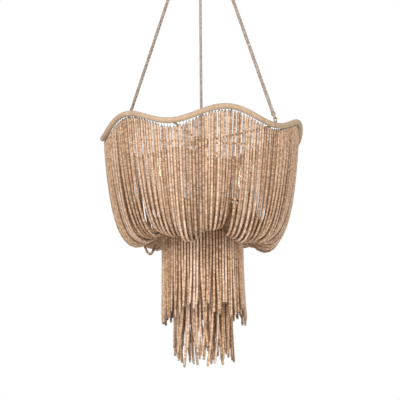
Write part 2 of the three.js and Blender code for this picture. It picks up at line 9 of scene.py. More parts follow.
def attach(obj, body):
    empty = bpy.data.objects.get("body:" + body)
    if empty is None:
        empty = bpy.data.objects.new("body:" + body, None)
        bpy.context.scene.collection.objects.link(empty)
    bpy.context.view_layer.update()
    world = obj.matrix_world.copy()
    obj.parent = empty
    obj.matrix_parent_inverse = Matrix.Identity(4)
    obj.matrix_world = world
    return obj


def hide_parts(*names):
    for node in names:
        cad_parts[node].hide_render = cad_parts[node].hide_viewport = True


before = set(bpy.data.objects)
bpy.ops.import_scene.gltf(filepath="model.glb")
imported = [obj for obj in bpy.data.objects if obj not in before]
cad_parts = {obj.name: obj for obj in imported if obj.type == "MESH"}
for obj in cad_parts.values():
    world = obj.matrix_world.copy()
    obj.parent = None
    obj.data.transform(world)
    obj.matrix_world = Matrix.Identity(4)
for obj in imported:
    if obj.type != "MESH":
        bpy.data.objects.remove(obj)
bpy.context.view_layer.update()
upward = Vector((0, 0, 1))
sideward = Vector((1, 0, 0))
fullTurn = 2 * math.pi
tiny = 1e-6  # points nearer than this are one


# Shader maths as Python expressions: each operation adds its Math node
class Link:
    def __init__(self, paint, socket):
        self.paint = paint
        self.socket = socket

    def maths(self, operation, first, second):
        return self.paint.node("ShaderNodeMath", {"operation": operation}, {0: first, 1: second})

    def __add__(self, other):
        return self.maths("ADD", self, other)

    def __mul__(self, other):
        return self.maths("MULTIPLY", self, other)

    def __pow__(self, other):
        return self.maths("POWER", self, other)

    def __rpow__(self, other):
        return self.maths("POWER", other, self)

    def larger(self, other):
        return self.maths("MAXIMUM", self, other)

    __radd__ = __add__
    __rmul__ = __mul__


# Plain words for the shader's sockets
shaderSockets = {
    "colour": "Base Color", "roughness": "Roughness", "metallic": "Metallic", "normal": "Normal",
    "coat": "Coat Weight", "sheen": "Sheen Weight", "ior": "IOR",
    "transmission": "Transmission Weight", "glow": "Emission Color",
    "glowStrength": "Emission Strength"}


# The nodes of one material, or of the world
class Paint:
    def __init__(self, owner):
        owner.use_nodes = True
        self.owner = owner
        self.tree = owner.node_tree

    # settings come first, then the values or links of the sockets
    def node(self, kind, settings=None, sockets=None, out=0):
        made = self.tree.nodes.new(kind)
        for key, value in (settings or {}).items():
            if key == "stops":
                self.ramp(made.color_ramp, value)
            else:
                setattr(made, key, value)
        for key, value in (sockets or {}).items():
            self.plug(made.inputs[key], value)
        return Link(self, made.outputs[out])

    def ramp(self, ramp, stops):
        while len(ramp.elements) < len(stops):
            ramp.elements.new(1.0)
        for element, (place, colour) in zip(ramp.elements, stops):
            element.position = place
            element.color = (*colour, 1.0)

    def plug(self, socket, value):
        if isinstance(value, Link):
            self.tree.links.new(value.socket, socket)
        elif isinstance(value, tuple):  # a colour
            socket.default_value = (*value, 1.0)
        else:
            socket.default_value = value

    def set(self, **values):
        shader = self.tree.nodes["Principled BSDF"]
        for key, value in values.items():
            self.plug(shader.inputs[shaderSockets[key]], value)
        return self.owner

    def noise(self, scale, detail):
        place = self.node("ShaderNodeTexCoord", out="Object")
        return self.node("ShaderNodeTexNoise", None,
                         {"Vector": place, "Scale": scale, "Detail": detail})

    def attribute(self, name):
        return self.node("ShaderNodeAttribute", {"attribute_name": name}, out=2)  # as a number

    # the sum of layers, each times its share, on top of a number if one is given
    def total(self, layers, shares, start=None):
        for key, share in shares.items():
            part = layers[key] if share == 1 else layers[key] * share
            start = part if start is None else start + part
        return start

    def gradient(self, factor, places, tones):
        return self.node("ShaderNodeValToRGB", {"stops": list(zip(places, tones))}, {0: factor})

    # the numbers are those of the node's colour sockets
    def mix(self, factor, first, second):
        return self.node("ShaderNodeMix", {"data_type": "RGBA"}, {0: factor, 6: first, 7: second},
                         out=2)

    # lays a shader over the one that feeds the output from the start
    def layOver(self, factor, start, over, output):
        start = Link(self, self.tree.nodes[start].outputs[0])
        mixed = self.node("ShaderNodeMixShader", None, {0: factor, 1: start, 2: over})
        self.plug(self.tree.nodes[output].inputs["Surface"], mixed)

    def bump(self, height, strength, distance):
        return self.node("ShaderNodeBump", None,
                         {"Height": height, "Strength": strength, "Distance": distance})


# Makes a finish from layers of noise, as (scale, detail), and of attributes on the mesh. shade and
# uneven give the layers' shares in the colour's ramp and in the roughness; the ramp's tones stand
# at its places, and bump is (layer, strength, depth).
def makeFinish(name, look, tones=None, roughness=None):
    paint = Paint(bpy.data.materials.new(name))
    layers = {key: paint.noise(*value) for key, value in look["noises"].items()}
    layers.update({key: paint.attribute(key) for key in look.get("attributes", ())})
    shade = paint.total(layers, look["shade"])
    colour = paint.gradient(shade, look["places"], tones or look["tones"])
    if "rosyTones" in look:
        rosy = paint.gradient(shade, look["places"], look["rosyTones"])
        # painted shade: the colour turns towards a dark brown where a bead faces its neighbours,
        # for the shadow between strings
        paintedShadeMask = layers["side"] ** look["paintedShadePower"] * look["paintedShadeShare"]
        colour = paint.mix(paintedShadeMask, paint.mix(layers["stringHue"], colour, rosy), look["paintedShadeColour"])
    values = {key: look[key] for key in shaderSockets if key in look}
    base = roughness or look["roughness"]
    values["roughness"] = paint.total(layers, look.get("uneven", {}), base)
    if "bump" in look:
        layer, strength, depth = look["bump"]
        values["normal"] = paint.bump(layers[layer], strength, depth)
    if "glowStrength" in look:
        values["glow"] = colour
    return paint.set(colour=colour, **values)


# A bead's tone comes from its own tint, its string's tint and its grain, and its hue from the
# string, between warm and rosy; towards the string's sides it darkens with painted shade between
# strings.
beadLook = {
    "noises": {"grain": (520.0, 3.0), "patch": (260.0, 2.0)},
    "attributes": ["beadTint", "stringTint", "stringHue", "side"],
    "shade": {"beadTint": 0.48, "stringTint": 0.36, "grain": 0.16},
    "places": (0.2, 0.42, 0.6, 0.8),
    "tones": [(0.38, 0.22, 0.125), (0.6, 0.385, 0.24), (0.75, 0.51, 0.335), (0.9, 0.67, 0.48)],
    "rosyTones": [(0.38, 0.245, 0.17), (0.59, 0.415, 0.305), (0.73, 0.535, 0.42),
                  (0.88, 0.7, 0.59)],
    "paintedShadePower": 2.6, "paintedShadeShare": 0.82, "paintedShadeColour": (0.15, 0.075, 0.035), "roughness": 0.56,
    "uneven": {"patch": 0.22}, "bump": ("grain", 0.2, 0.0005), "coat": 0.05}
woundLook = {
    "noises": {"wear": (26.0, 3.0), "thread": (900.0, 2.0)}, "attributes": ["windingTint"],
    "shade": {"windingTint": 0.22, "wear": 0.5, "thread": 0.28}, "places": (0.25, 0.5, 0.78),
    "tones": [(0.385, 0.28, 0.19), (0.49, 0.357, 0.248), (0.6, 0.452, 0.325)],
    "roughness": 0.74, "uneven": {"wear": 0.16}, "bump": ("thread", 0.35, 0.0005), "sheen": 0.12}
ropeLook = {
    "noises": {"fibre": (760.0, 3.0), "patch": (90.0, 2.0)}, "shade": {"fibre": 0.5, "patch": 0.5},
    "places": (0.3, 0.64), "roughness": 0.88, "bump": ("fibre", 0.6, 0.0006),
    "sheen": 0.2}
metalLook = {
    "noises": {"tarnish": (26.0, 5.0), "scratch": (520.0, 2.0)}, "shade": {"tarnish": 1},
    "places": (0.3, 0.62), "uneven": {"tarnish": 0.16, "scratch": 0.06},
    "bump": ("scratch", 0.12, 0.0003), "metallic": 1.0}
plasticLook = {
    "noises": {"mould": (60.0, 3.0), "grain": (800.0, 2.0)}, "shade": {"mould": 1},
    "places": (0.3, 0.7), "uneven": {"mould": 0.12}, "bump": ("grain", 0.08, 0.0002)}
glassLook = {
    "noises": {"smear": (70.0, 2.0)}, "shade": {"smear": 1}, "places": (0.3, 0.7),
    "tones": [(1.0, 0.95, 0.86), (1.0, 0.98, 0.94)], "roughness": 0.01, "uneven": {"smear": 0.05},
    "transmission": 1.0, "ior": 1.45}
filamentLook = {
    "noises": {"heat": (160.0, 2.0)}, "shade": {"heat": 1}, "places": (0.3, 0.7),
    "tones": [(1.0, 0.66, 0.34), (1.0, 0.84, 0.6)], "roughness": 0.4,
    "glowStrength": 9.0}
floorLook = {
    "noises": {"patch": (1.2, 2.0)}, "shade": {"patch": 1}, "places": (0.3, 0.7),
    "tones": [(0.86, 0.86, 0.85), (0.9, 0.9, 0.9)], "roughness": 0.9}
finishes = {
    "beads": makeFinish("disc beads", beadLook),
    "wound": makeFinish("wound cord", woundLook),
    "rope": makeFinish("twisted rope", ropeLook, [(0.17, 0.13, 0.105), (0.54, 0.45, 0.38)]),
    "cord": makeFinish("cloth cord", ropeLook, [(0.24, 0.21, 0.18), (0.46, 0.42, 0.37)]),
    "brass": makeFinish("aged brass", metalLook, [(0.5, 0.33, 0.1), (0.86, 0.62, 0.25)], 0.24),
    "dullBrass": makeFinish("dull brass", metalLook, [(0.4, 0.3, 0.14), (0.66, 0.5, 0.27)], 0.4),
    "wire": makeFinish("grey wire", metalLook, [(0.17, 0.16, 0.15), (0.36, 0.34, 0.3)], 0.4),
    "crimp": makeFinish("dull crimps", metalLook, [(0.3, 0.24, 0.18), (0.5, 0.42, 0.33)], 0.5),
    "steel": makeFinish("plated steel", metalLook,
                        [(0.45, 0.45, 0.44), (0.68, 0.68, 0.66)], 0.3),
    "sleeve": makeFinish("ivory sleeve", plasticLook,
                         [(0.72, 0.62, 0.43), (0.82, 0.74, 0.56)], 0.42),
    "terminal": makeFinish("terminal plastic", plasticLook,
                           [(0.74, 0.71, 0.62), (0.82, 0.8, 0.73)], 0.45),
    "glass": makeFinish("bulb glass", glassLook),
    "filament": makeFinish("lit filament", filamentLook),
}
print("finishes made")

# Camera, stage and lights
camera = {"place": (0.0, -2.664, -1.3856), "pitch": math.radians(8.5), "roll": -0.009,
          "lens": 81.0, "sensor": 36.0, "shift": -0.00525}
stage = {"floorLevel": -2.4, "floorSize": 14.0, "floorLift": 0.55, "white": (1.0, 1.0, 1.0),
         "fillColour": (1.0, 0.94, 0.86), "fill": 0.42}
lights = {
    "key": {"place": (-1.5, -2.9, 0.35), "aim": (0, 0, -0.98), "size": 1.5, "power": 84.0,
            "colour": (1.0, 0.975, 0.94)},
    "fill": {"place": (1.9, -2.7, -1.05), "aim": (0, 0, -1.05), "size": 2.0, "power": 44.0,
             "colour": (1.0, 0.98, 0.95)},
    "back": {"place": (0.5, 2.8, 0.1), "aim": (0, 0, -0.9), "size": 2.2, "power": 26.0,
             "colour": (1.0, 0.98, 0.96)}}


def addToScene(name, data):
    added = bpy.data.objects.new(name, data)
    bpy.context.scene.collection.objects.link(added)
    return added


def makeCamera():
    data = bpy.data.cameras.new("camera")
    data.lens = camera["lens"]
    data.sensor_width = camera["sensor"]
    data.shift_x = camera["shift"]
    taker = addToScene("camera", data)
    tilt = Matrix.Rotation(math.pi / 2 + camera["pitch"], 4, "X")
    roll = Matrix.Rotation(camera["roll"], 4, "Z")
    taker.matrix_world = Matrix.Translation(camera["place"]) @ tilt @ roll
    bpy.context.scene.camera = taker


def makeStage():
    deselectAll()
    bpy.ops.mesh.primitive_plane_add(size=stage["floorSize"], location=(0, 0, stage["floorLevel"]))
    floor = bpy.context.object
    floor.name = "floor"
    paint = Paint(makeFinish("pale floor", floorLook))
    floor.data.materials.append(paint.owner)
    # the camera sees the floor lifted towards white
    lifted = paint.node("ShaderNodeLightPath", out="Is Camera Ray") * stage["floorLift"]
    white = paint.node("ShaderNodeEmission", None, {"Color": stage["white"]})
    paint.layOver(lifted, "Principled BSDF", white, "Material Output")


# White where the camera looks past the object, also through glass, and a soft fill elsewhere
def makeWorld():
    world = bpy.data.worlds.new("studio")
    bpy.context.scene.world = world
    paint = Paint(world)
    soft = paint.tree.nodes["Background"]
    paint.plug(soft.inputs["Color"], stage["fillColour"])
    paint.plug(soft.inputs["Strength"], stage["fill"])
    white = paint.node("ShaderNodeBackground", None, {"Color": stage["white"]})
    straight = paint.node("ShaderNodeLightPath", out="Is Camera Ray")
    throughGlass = paint.node("ShaderNodeLightPath", out="Is Transmission Ray")
    paint.layOver(straight.larger(throughGlass), "Background", white, "World Output")


def makeLight(name, place, aim, size, power, colour):
    data = bpy.data.lights.new(name, "AREA")
    data.size = size
    data.energy = power
    data.color = colour
    lamp = addToScene(name, data)
    lamp.location = place
    lamp.rotation_euler = (Vector(aim) - Vector(place)).to_track_quat("-Z", "Y").to_euler()


# Modelling helpers
smoothBelow = {"hard": 40, "glass": 70, "beads": 75, "wound": 80}  # degrees
bevelAbove = math.radians(28)
eyeSegments = 36
eyeSides = 14


def deselectAll():
    bpy.ops.object.select_all(action="DESELECT")


def setMode(mode):
    bpy.ops.object.mode_set(mode=mode)


def activate(piece):
    deselectAll()
    piece.select_set(True)
    bpy.context.view_layer.objects.active = piece


def joinAll(pieces):
    activate(pieces[0])
    for piece in pieces:
        piece.select_set(True)
    bpy.ops.object.join()
    return bpy.context.object


# Rounds the sharp edges of a hard piece
def soften(piece, width, segments=2):
    activate(piece)
    bevel = piece.modifiers.new("soft edges", "BEVEL")
    bevel.width = width
    bevel.segments = segments
    bevel.limit_method = "ANGLE"
    bevel.angle_limit = bevelAbove
    bpy.ops.object.modifier_apply(modifier="soft edges")
    return piece


# Finishes a piece: its place goes into its mesh, it gets its name, finish and body, and the CAD
# nodes that it stands for are hidden
def settle(piece, name, finish, stands=(), smooth="hard", body="chandelier"):
    activate(piece)
    bpy.ops.object.transform_apply(location=True, rotation=True, scale=True)
    bpy.ops.object.shade_smooth_by_angle(angle=math.radians(smoothBelow[smooth]))
    piece.name = name
    piece.data.materials.clear()
    piece.data.materials.append(finishes[finish])
    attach(piece, body)
    if stands:
        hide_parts(*stands)
    return piece


def settleBrass(piece, name, *nodes, body="chandelier"):
    return settle(piece, name, "brass", nodes, body=body)


# Turns the Z axis towards a direction
def turnTo(direction):
    return direction.to_track_quat("Z", "Y").to_matrix().to_4x4()


# The outline of a plain rod on the Z axis
def rod(radius, low, high):
    return [(0, low), (radius, low), (radius, high), (0, high)]


# A turned piece on the Z axis: the outline runs from the bottom up, as (radius, height)
def turnedPiece(outline, steps, at=(0, 0, 0), closed=False, along=None):
    edges = [(i, i + 1) for i in range(len(outline) - 1)]
    if closed:
        edges.append((len(outline) - 1, 0))
    mesh = bpy.data.meshes.new("outline")
    mesh.from_pydata([(r, 0, z) for r, z in outline], edges, [])
    piece = addToScene("outline", mesh)
    activate(piece)
    setMode("EDIT")
    bpy.ops.mesh.select_all(action="SELECT")
    bpy.ops.mesh.spin(steps=steps, angle=fullTurn, center=(0, 0, 0), axis=(0, 0, 1))
    bpy.ops.mesh.select_all(action="SELECT")
    bpy.ops.mesh.remove_doubles(threshold=tiny)
    bpy.ops.mesh.normals_make_consistent(inside=False)
    setMode("OBJECT")
    piece.matrix_world = Matrix.Translation(at) @ (turnTo(along) if along else Matrix.Identity(4))
    return piece


# An eye of wire in the plane of two directions
def wireEye(centre, radius, wire, first, second):
    deselectAll()
    bpy.ops.mesh.primitive_torus_add(
        major_radius=radius, minor_radius=wire, major_segments=eyeSegments,
        minor_segments=eyeSides)
    piece = bpy.context.object
    turn = Matrix((first, second, first.cross(second))).transposed().to_4x4()
    piece.matrix_world = Matrix.Translation(centre) @ turn
    return piece


def block(size, at, turn):
    deselectAll()
    bpy.ops.mesh.primitive_cube_add(size=1, location=at, rotation=(0, 0, turn))
    piece = bpy.context.object
    piece.scale = size
    bpy.ops.object.transform_apply(location=False, rotation=False, scale=True)
    return piece


# A curve of straight steps through the points, open unless closed is asked for
def pathCurve(points, closed=False):
    data = bpy.data.curves.new("path", "CURVE")
    data.dimensions = "3D"
    spline = data.splines.new("POLY")
    spline.points.add(len(points) - 1)
    for k, point in enumerate(points):
        spline.points[k].co = (*point, 1.0)
    spline.use_cyclic_u = closed
    return data


def tubeAlong(points, radius, sides, closed=False, radii=None):
    data = pathCurve(points, closed)
    data.bevel_depth = radius
    data.bevel_resolution = max(0, sides // 4 - 1)
    data.use_fill_caps = not closed
    for k, share in enumerate(radii or []):
        data.splines[0].points[k].radius = share
    activate(addToScene("path", data))
    bpy.ops.object.convert(target="MESH")
    return bpy.context.object


def copyTo(template, matrix):
    piece = addToScene(template.name, template.data.copy())
    piece.matrix_world = matrix
    return piece


def polar(radius, angle, z):
    return Vector((radius * math.cos(angle), radius * math.sin(angle), z))


makeCamera()
makeStage()
makeWorld()
for name, settings in lights.items():
    makeLight(name, **settings)
print("camera, stage and lights made")

# The wavy ring, wound with cord: each turn of the winding dips a little where the next begins
ring = {"radius": 0.297, "tube": 0.008, "level": -0.792, "wave": 0.0185, "waves": 6,
        "firstTrough": math.radians(-46), "windingPitch": 0.0036, "stations": 3,
        "dip": 0.028, "sides": 16, "seed": 11}


def ringHeight(angle):
    return ring["level"] - ring["wave"] * math.cos(ring["waves"] * (angle - ring["firstTrough"]))


def ringSlope(angle):
    rise = ring["wave"] * ring["waves"] * math.sin(ring["waves"] * (angle - ring["firstTrough"]))
    return rise / ring["radius"]


def makeRing():
    windings = round(fullTurn * ring["radius"] / ring["windingPitch"])
    stations = ring["stations"] * windings
    angles = [fullTurn * k / stations for k in range(stations)]
    points = [polar(ring["radius"], a, ringHeight(a)) for a in angles]
    radii = [1.0 if k % ring["stations"] else 1.0 - ring["dip"] for k in range(stations)]
    wound = tubeAlong(points, ring["tube"], ring["sides"], closed=True, radii=radii)
    chance = random.Random(ring["seed"])
    tints = [chance.random() for _ in range(windings)]
    layer = wound.data.attributes.new("windingTint", "FLOAT", "POINT")
    for k, vertex in enumerate(wound.data.vertices):
        angle = math.atan2(vertex.co.y, vertex.co.x) % fullTurn
        layer.data[k].value = tints[int(angle / fullTurn * windings) % windings]
    settle(wound, "wound_ring", "wound", ["wavy_ring"], "wound")


makeRing()
print("ring made")

# Ceiling end: canopy, its screws, hook and link. The screw's dome is in shares of head and rise
canopy = {"rim": 0.062, "mouth": 0.030, "depth": 0.046, "wall": 0.0016, "steps": 18, "sides": 72}
screw = {"drop": 0.006, "seat": 0.0623, "shank": 0.002, "length": 0.008, "head": 0.004,
         "rise": 0.0024, "dome": [(1, 0.4), (0.8, 0.78), (0.42, 1), (0, 1)], "sides": 24}
hook = {"shank": 0.003, "sides": 24, "nut": 0.007, "nutTop": -0.0033, "nutHeight": 0.004,
        "nutSides": 6, "nutEdge": 0.0004, "eyeDrop": 0.033, "eye": 0.010, "wire": 0.0026,
        "sink": 0.001}
link = {"wire": 0.0024, "bow": 0.008, "upper": -0.0457, "lower": -0.0697, "steps": 20,
        "sides": 16}


def bowl(rim, depth):
    points = []
    for k in range(canopy["steps"] + 1):
        s = math.pi / 2 * k / canopy["steps"]
        out = (rim - canopy["mouth"]) * math.cos(s)
        points.append((canopy["mouth"] + out, -depth * math.sin(s)))
    return points


def makeCanopy():
    outer = bowl(canopy["rim"], canopy["depth"])
    inner = bowl(canopy["rim"] - canopy["wall"], canopy["depth"] - canopy["wall"])
    shell = turnedPiece(list(reversed(outer)) + inner, canopy["sides"], closed=True)
    settleBrass(shell, "canopy_shell", "ceiling_canopy", body="ceiling")


def makeScrews():
    shank, low = screw["shank"], -screw["length"]
    outline = [(0, low), (shank, low), (shank, 0), (screw["head"], 0)]
    outline += [(screw["head"] * r, screw["rise"] * z) for r, z in screw["dome"]]
    for name, side in (("left", -1), ("right", 1)):
        piece = turnedPiece(outline, screw["sides"], (side * screw["seat"], 0, -screw["drop"]),
                            along=side * sideward)
        settleBrass(piece, f"domed_screw_{name}", f"canopy_screw_{name}", body="ceiling")


def makeHook():
    centre = Vector((0, 0, -hook["eyeDrop"]))
    eye = wireEye(centre, hook["eye"], hook["wire"], sideward, upward)
    low = hook["eye"] - hook["eyeDrop"] - hook["sink"]
    shank = turnedPiece(rod(hook["shank"], low, hook["nutTop"]), hook["sides"])
    deselectAll()
    bpy.ops.mesh.primitive_cylinder_add(
        vertices=hook["nutSides"], radius=hook["nut"], depth=hook["nutHeight"],
        location=(0, 0, hook["nutTop"] - hook["nutHeight"] / 2))
    nut = soften(bpy.context.object, hook["nutEdge"])
    settleBrass(joinAll([eye, shank, nut]), "eye_hook", "ceiling_hook", body="ceiling")


def makeLink():
    points = []
    for middle, start in ((link["upper"], 0.0), (link["lower"], math.pi)):
        for k in range(link["steps"] + 1):
            a = start + math.pi * k / link["steps"]
            z = middle + link["bow"] * math.sin(a)
            points.append(Vector((0, link["bow"] * math.cos(a), z)))
    oval = tubeAlong(points, link["wire"], link["sides"], closed=True)
    settleBrass(oval, "oval_link", "hanging_link", body="link")


makeCanopy()
makeScrews()
makeHook()
makeLink()
print("ceiling end made")

# Gathering piece, the two ends of each rope, and the cords
gather = {"eyeCentre": -0.0824, "eye": 0.010, "wire": 0.0026, "neck": 0.007, "neckLength": 0.012,
          "flange": 0.018, "flangeTop": -0.1044, "flangeBottom": -0.1124, "tail": 0.008,
          "bottom": -0.1264, "reach": 0.023087, "edge": 0.0007, "sides": 56}
eyelet = {"base": 0.005, "baseHeight": 0.0016, "stem": 0.001, "sink": 0.0012, "eye": 0.0054,
          "wire": 0.0015, "lift": 0.0006, "linked": 0.0075, "sides": 28}
cap = {"start": 0.0042, "neckExtra": 0.0012, "radius": 0.0062, "waist": 0.96, "end": 0.9,
       "shoulder": 0.0089, "length": 0.009, "gap": 0.0003, "turns": 5, "pointsPerTurn": 4,
       "ridge": 0.0005, "sides": 28}
ropes = {"strandRadius": 0.00268, "strandOffset": 0.00262, "pitch": 0.036, "strands": 3,
         "sides": 10, "stepsPerTurn": 20, "diameter": 0.0104,
         "angles": {"right": math.radians(-46), "left": math.radians(151)}}
cords = {"centreRadius": 0.004, "leadRadius": 0.0025, "sides": 16, "leadOffset": 0.0155,
         "centreTop": -0.1267, "centreFoot": -0.7702, "leadTop": -0.0293, "leadGap": 0.0003,
         "pathPoints": 24}


# The middle of the flange, where the upper rope eyes hang
def gatherEye(angle):
    return polar(gather["reach"], angle, (gather["flangeTop"] + gather["flangeBottom"]) / 2)


def makeGather():
    low, high = gather["flangeBottom"], gather["flangeTop"]
    top = high + gather["neckLength"]
    outline = [(0, gather["bottom"]), (gather["tail"], gather["bottom"]), (gather["tail"], low),
               (gather["flange"], low), (gather["flange"], high), (gather["neck"], high),
               (gather["neck"] / 2, top), (0, top)]
    pieces = [soften(turnedPiece(outline, gather["sides"]), gather["edge"])]
    centre = Vector((0, 0, gather["eyeCentre"]))
    pieces.append(wireEye(centre, gather["eye"], gather["wire"], sideward, upward))
    for angle in ropes["angles"].values():
        pieces.append(wireEye(gatherEye(angle), eyelet["eye"], eyelet["wire"],
                              polar(1, angle, 0), upward))
    settleBrass(joinAll(pieces), "gathering_piece", "rope_gather")


# A sleeve bound with thread, which stands on a rope's eye
def capOutline():
    low, high = cap["shoulder"], cap["start"] + cap["length"]
    waist = cap["radius"] * cap["waist"]
    points = [(0, cap["start"]), (eyelet["wire"] + cap["neckExtra"], cap["start"]), (waist, low)]
    count = cap["pointsPerTurn"] * cap["turns"]
    for k in range(1, count):
        ridge = cap["ridge"] * abs(math.sin(math.pi * cap["turns"] * k / count))
        points.append((waist + ridge, low + (high - low) * k / count))
    return points + [(cap["radius"] * cap["end"], high), (0, high)]


# An eyelet square on the ring; gives its centre and the directions along and across the rope
def makeEyelet(side, across, top):
    angle = ropes["angles"][side]
    lift = (upward - across * ringSlope(angle)).normalized()
    rise = ring["wave"] * (1 - math.cos(ring["waves"] * eyelet["base"] / ring["radius"]))
    seat = polar(ring["radius"], angle, ringHeight(angle))
    seat += lift * (ring["tube"] + rise + eyelet["lift"])
    centre = seat + lift * (eyelet["baseHeight"] + eyelet["stem"] + eyelet["eye"])
    pull = (top - centre).normalized()
    lean = (pull - lift * pull.dot(lift)).normalized()
    height, wire = eyelet["baseHeight"], eyelet["wire"]
    stemTop = height + eyelet["stem"] + eyelet["sink"]
    base = turnedPiece(
        [(0, 0), (eyelet["base"], 0), (eyelet["base"], height / 2), (wire, height),
         (wire, stemTop), (0, stemTop)], eyelet["sides"], seat, along=lift)
    loop = wireEye(centre, eyelet["eye"], wire, lean, lift)
    settle(joinAll([base, loop]), f"wire_eyelet_{side}", "dullBrass",
           [f"ring_eyelet_{side}"])
    return centre, pull, lean.cross(lift)


def straightPath(low, high):
    last = cords["pathPoints"] - 1
    return [low.lerp(high, k / last) for k in range(last + 1)]


def makeRope(side):
    angle = ropes["angles"][side]
    across = polar(1, angle + math.pi / 2, 0)
    top = gatherEye(angle)
    foot, pull, offPull = makeEyelet(side, across, top)
    ends = []
    for level, at, along, sideways in (("low", foot, pull, offPull), ("high", top, -pull, across)):
        centre = at + along * eyelet["linked"]
        eye = wireEye(centre, eyelet["eye"], eyelet["wire"], along, sideways)
        settle(eye, f"rope_eye_{level}_{side}", "dullBrass", [f"rope_end_{level}_{side}"])
        bound = turnedPiece(capOutline(), cap["sides"], centre, along=along)
        settle(bound, f"bound_sleeve_{level}_{side}", "rope")
        ends.append(centre + along * (cap["start"] + cap["length"] + cap["gap"]))
    low, high = ends
    length = (high - low).length
    steps = round(length / ropes["pitch"] * ropes["stepsPerTurn"])
    strands = []
    for strand in range(ropes["strands"]):
        start = fullTurn * strand / ropes["strands"]
        points = []
        for k in range(steps + 1):
            z = length * k / steps
            points.append(polar(ropes["strandOffset"], start + fullTurn * z / ropes["pitch"], z))
        piece = tubeAlong(points, ropes["strandRadius"], ropes["sides"])
        piece.matrix_world = Matrix.Translation(low) @ turnTo(high - low)
        strands.append(piece)
    rope = settle(joinAll(strands), "twisted_rope_" + side, "rope", ["rope_" + side])


def makeCord(node, name, low, high, radius):
    cord = tubeAlong(straightPath(low, high), radius, cords["sides"])
    settle(cord, name, "cord", [node])


makeGather()
makeRope("right")
makeRope("left")
makeCord("centre_cord", "cloth_cord_centre", Vector((0, 0, cords["centreFoot"])),
         Vector((0, 0, cords["centreTop"])), cords["centreRadius"])
makeCord("supply_lead", "cloth_cord_lead",
         Vector((0, cords["leadOffset"], gather["flangeTop"] + cords["leadGap"])),
         Vector((0, cords["leadOffset"], cords["leadTop"])), cords["leadRadius"])
print("gathering piece, ropes and cords made")

# Frame inside the beads: hub, spokes, column, arm hub, hoops, spider and nut. The nut's outline is
# in shares of its radius and of its height, from the top down
hub = {"radius": 0.020, "foot": 0.012, "neck": 0.009, "middle": -0.8105, "half": 0.018,
       "top": -0.7705, "edge": 0.001, "edgeSegments": 3, "sides": 56}
spokes = {"radius": 0.003, "from": 0.0203, "to": 0.2887, "sides": 16}
column = {"radius": 0.008, "collar": 0.011, "collarHeight": 0.006, "top": -0.8288,
          "bottom": -1.0297, "edge": 0.0006, "sides": 40}
armHub = {"radius": 0.018, "end": 0.0126, "bore": 0.0083, "middle": -0.986, "half": 0.015,
          "edge": 0.0008, "sides": 48}
hoops = {"wall": 0.003, "edge": 0.0005, "sides": 96, "bands": [  # (name, node, radius, low, high)
    ("hoop_band", "gather_hoop", 0.1175, -1.043, -1.009),
    ("inner_hoop_band", "inner_hoop", 0.0815, -1.0473, -1.0333)]}
spider = {"reach": 0.1154, "width": 0.008, "thick": 0.003, "boss": 0.014, "bossHalf": 0.0016,
          "top": -1.030, "bars": 3, "edge": 0.0004, "sides": 40}
nut = {"radius": 0.009, "top": -1.0333, "height": 0.016, "edge": 0.0005, "sides": 36,
       "outline": [(0, 1), (0.3, 1), (0.52, 0.93), (0.86, 0.66), (1, 0.42), (1, 0), (0, 0)]}


def turnedBrass(name, node, outline, settings, closed=False):
    piece = turnedPiece(outline, settings["sides"], closed=closed)
    settleBrass(soften(piece, settings["edge"]), name, node)


def makeHub():
    m, h = hub["middle"], hub["half"]
    outline = [(0, m - h), (hub["foot"], m - h), (hub["radius"], m - h / 2),
               (hub["radius"], m + h / 2), (hub["neck"], m + h), (hub["neck"], hub["top"]),
               (0, hub["top"])]
    piece = soften(turnedPiece(outline, hub["sides"]), hub["edge"], hub["edgeSegments"])
    settle(piece, "turned_hub", "dullBrass", ["top_hub"])


def makeSpokes():
    for k in range(ring["waves"]):
        angle = ring["firstTrough"] + fullTurn * k / ring["waves"]
        points = [polar(spokes[end], angle, hub["middle"]) for end in ("from", "to")]
        spoke = tubeAlong(points, spokes["radius"], spokes["sides"])
        settleBrass(spoke, f"spoke_rod_{k + 1}", f"ring_spoke_{k + 1}")


def makeColumn():
    low, high, rise = column["bottom"], column["top"], column["collarHeight"]
    collar, radius = column["collar"], column["radius"]
    outline = [(0, low), (collar, low), (collar, low + rise), (radius, low + rise),
               (radius, high - rise), (collar, high - rise), (collar, high), (0, high)]
    turnedBrass("column_tube", "centre_column", outline, column)


def makeArmHub():
    m, h = armHub["middle"], armHub["half"]
    outline = [(armHub["bore"], m - h), (armHub["end"], m - h), (armHub["radius"], m - h / 2),
               (armHub["radius"], m + h / 2), (armHub["end"], m + h), (armHub["bore"], m + h)]
    turnedBrass("turned_arm_hub", "arm_hub", outline, armHub, closed=True)


def makeHoops():
    for name, node, radius, low, high in hoops["bands"]:
        inner, outer = radius - hoops["wall"] / 2, radius + hoops["wall"] / 2
        outline = [(inner, low), (outer, low), (outer, high), (inner, high)]
        turnedBrass(name, node, outline, hoops, closed=True)


def makeSpider():
    centre = spider["top"] - spider["thick"] / 2
    half = spider["bossHalf"]
    size = (2 * spider["reach"], spider["width"], spider["thick"])
    bars = [block(size, (0, 0, centre), ring["firstTrough"] + math.pi * k / spider["bars"])
            for k in range(spider["bars"])]
    boss = turnedPiece(rod(spider["boss"], centre - half, centre + half), spider["sides"])
    settleBrass(soften(joinAll(bars + [boss]), spider["edge"]), "spider_bars", "lower_spider")


def makeNut():
    outline = [(nut["radius"] * r, nut["top"] - nut["height"] * z) for r, z in nut["outline"]]
    turnedBrass("acorn_nut", "bottom_nut", outline, nut)


makeHub()
makeSpokes()
makeColumn()
makeArmHub()
makeHoops()
makeSpider()
makeNut()
print("inner frame made")

